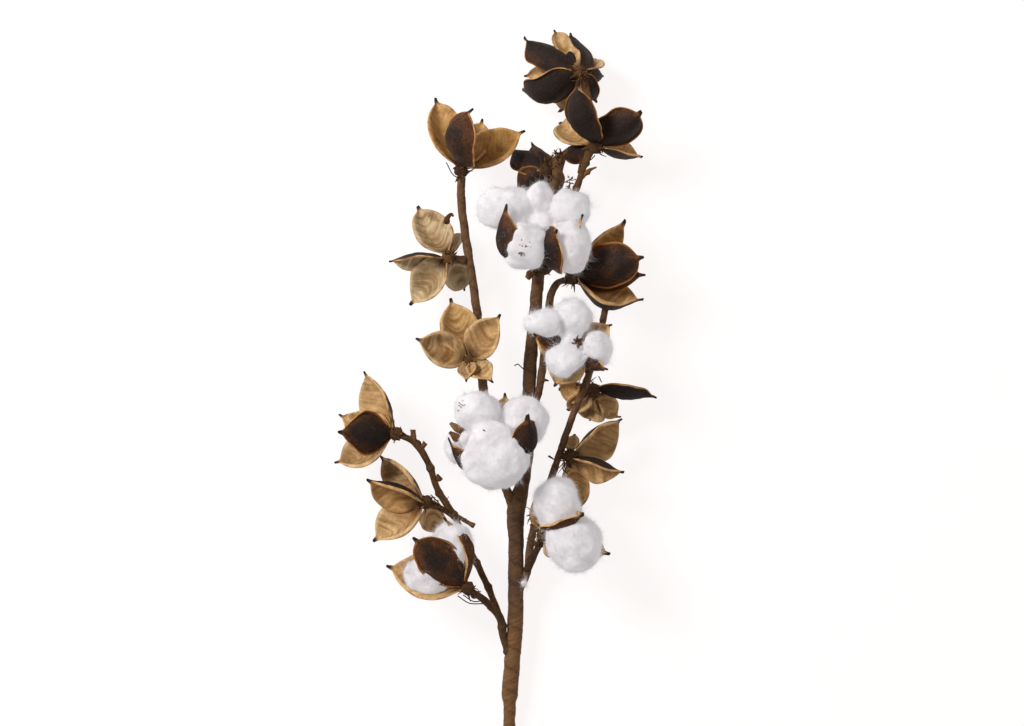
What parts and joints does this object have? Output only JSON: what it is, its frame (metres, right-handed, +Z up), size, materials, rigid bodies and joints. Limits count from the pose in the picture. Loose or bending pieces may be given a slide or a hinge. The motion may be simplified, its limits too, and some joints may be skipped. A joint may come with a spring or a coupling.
{
  "type": "cotton stem bunch",
  "caption": "Dried cotton stem lying down: a paper-taped stem with branches that carry open brown burs, some with white cotton. A decoration for a vase, wreath or table.",
  "frame": {"origin": "under the middle of the bunch, on the surface that it lies on", "axes": "+Y from the cut end towards the top, +Z up from the surface, +X to the right seen from above"},
  "size_m": [0.2026, 0.5535, 0.0873],
  "materials": {
    "bur": "matt",
    "lint": "matt",
    "tape": "matt",
    "twig": "matt"
  },
  "bodies": {
    "root": {"top_bur": "bur", "upper_right_bur": "bur", "hidden_bur": "bur", "top_boll": "bur", "right_bur": "bur", "middle_boll": "bur", "small_right_bur": "bur", "lower_right_bur": "bur", "lower_right_boll": "bur", "centre_boll": "bur", "upper_left_bur": "bur", "left_bur": "bur", "left_lower_bur": "bur", "far_left_bur": "bur", "far_left_lower_bur": "bur", "lower_left_boll": "bur", "top_boll_lint": "lint", "middle_boll_lint": "lint", "lower_right_boll_lint": "lint", "centre_boll_lint": "lint", "lower_left_boll_lint": "lint", "main_stem": "tape", "left_stem": "tape", "inner_stem": "tape", "right_stem": "tape", "lower_right_twig": "twig", "lower_left_twig": "twig", "far_left_twig": "twig", "far_left_lower_twig": "twig", "upper_right_twig": "twig", "top_twig": "twig"}
  },
  "joints": []
}
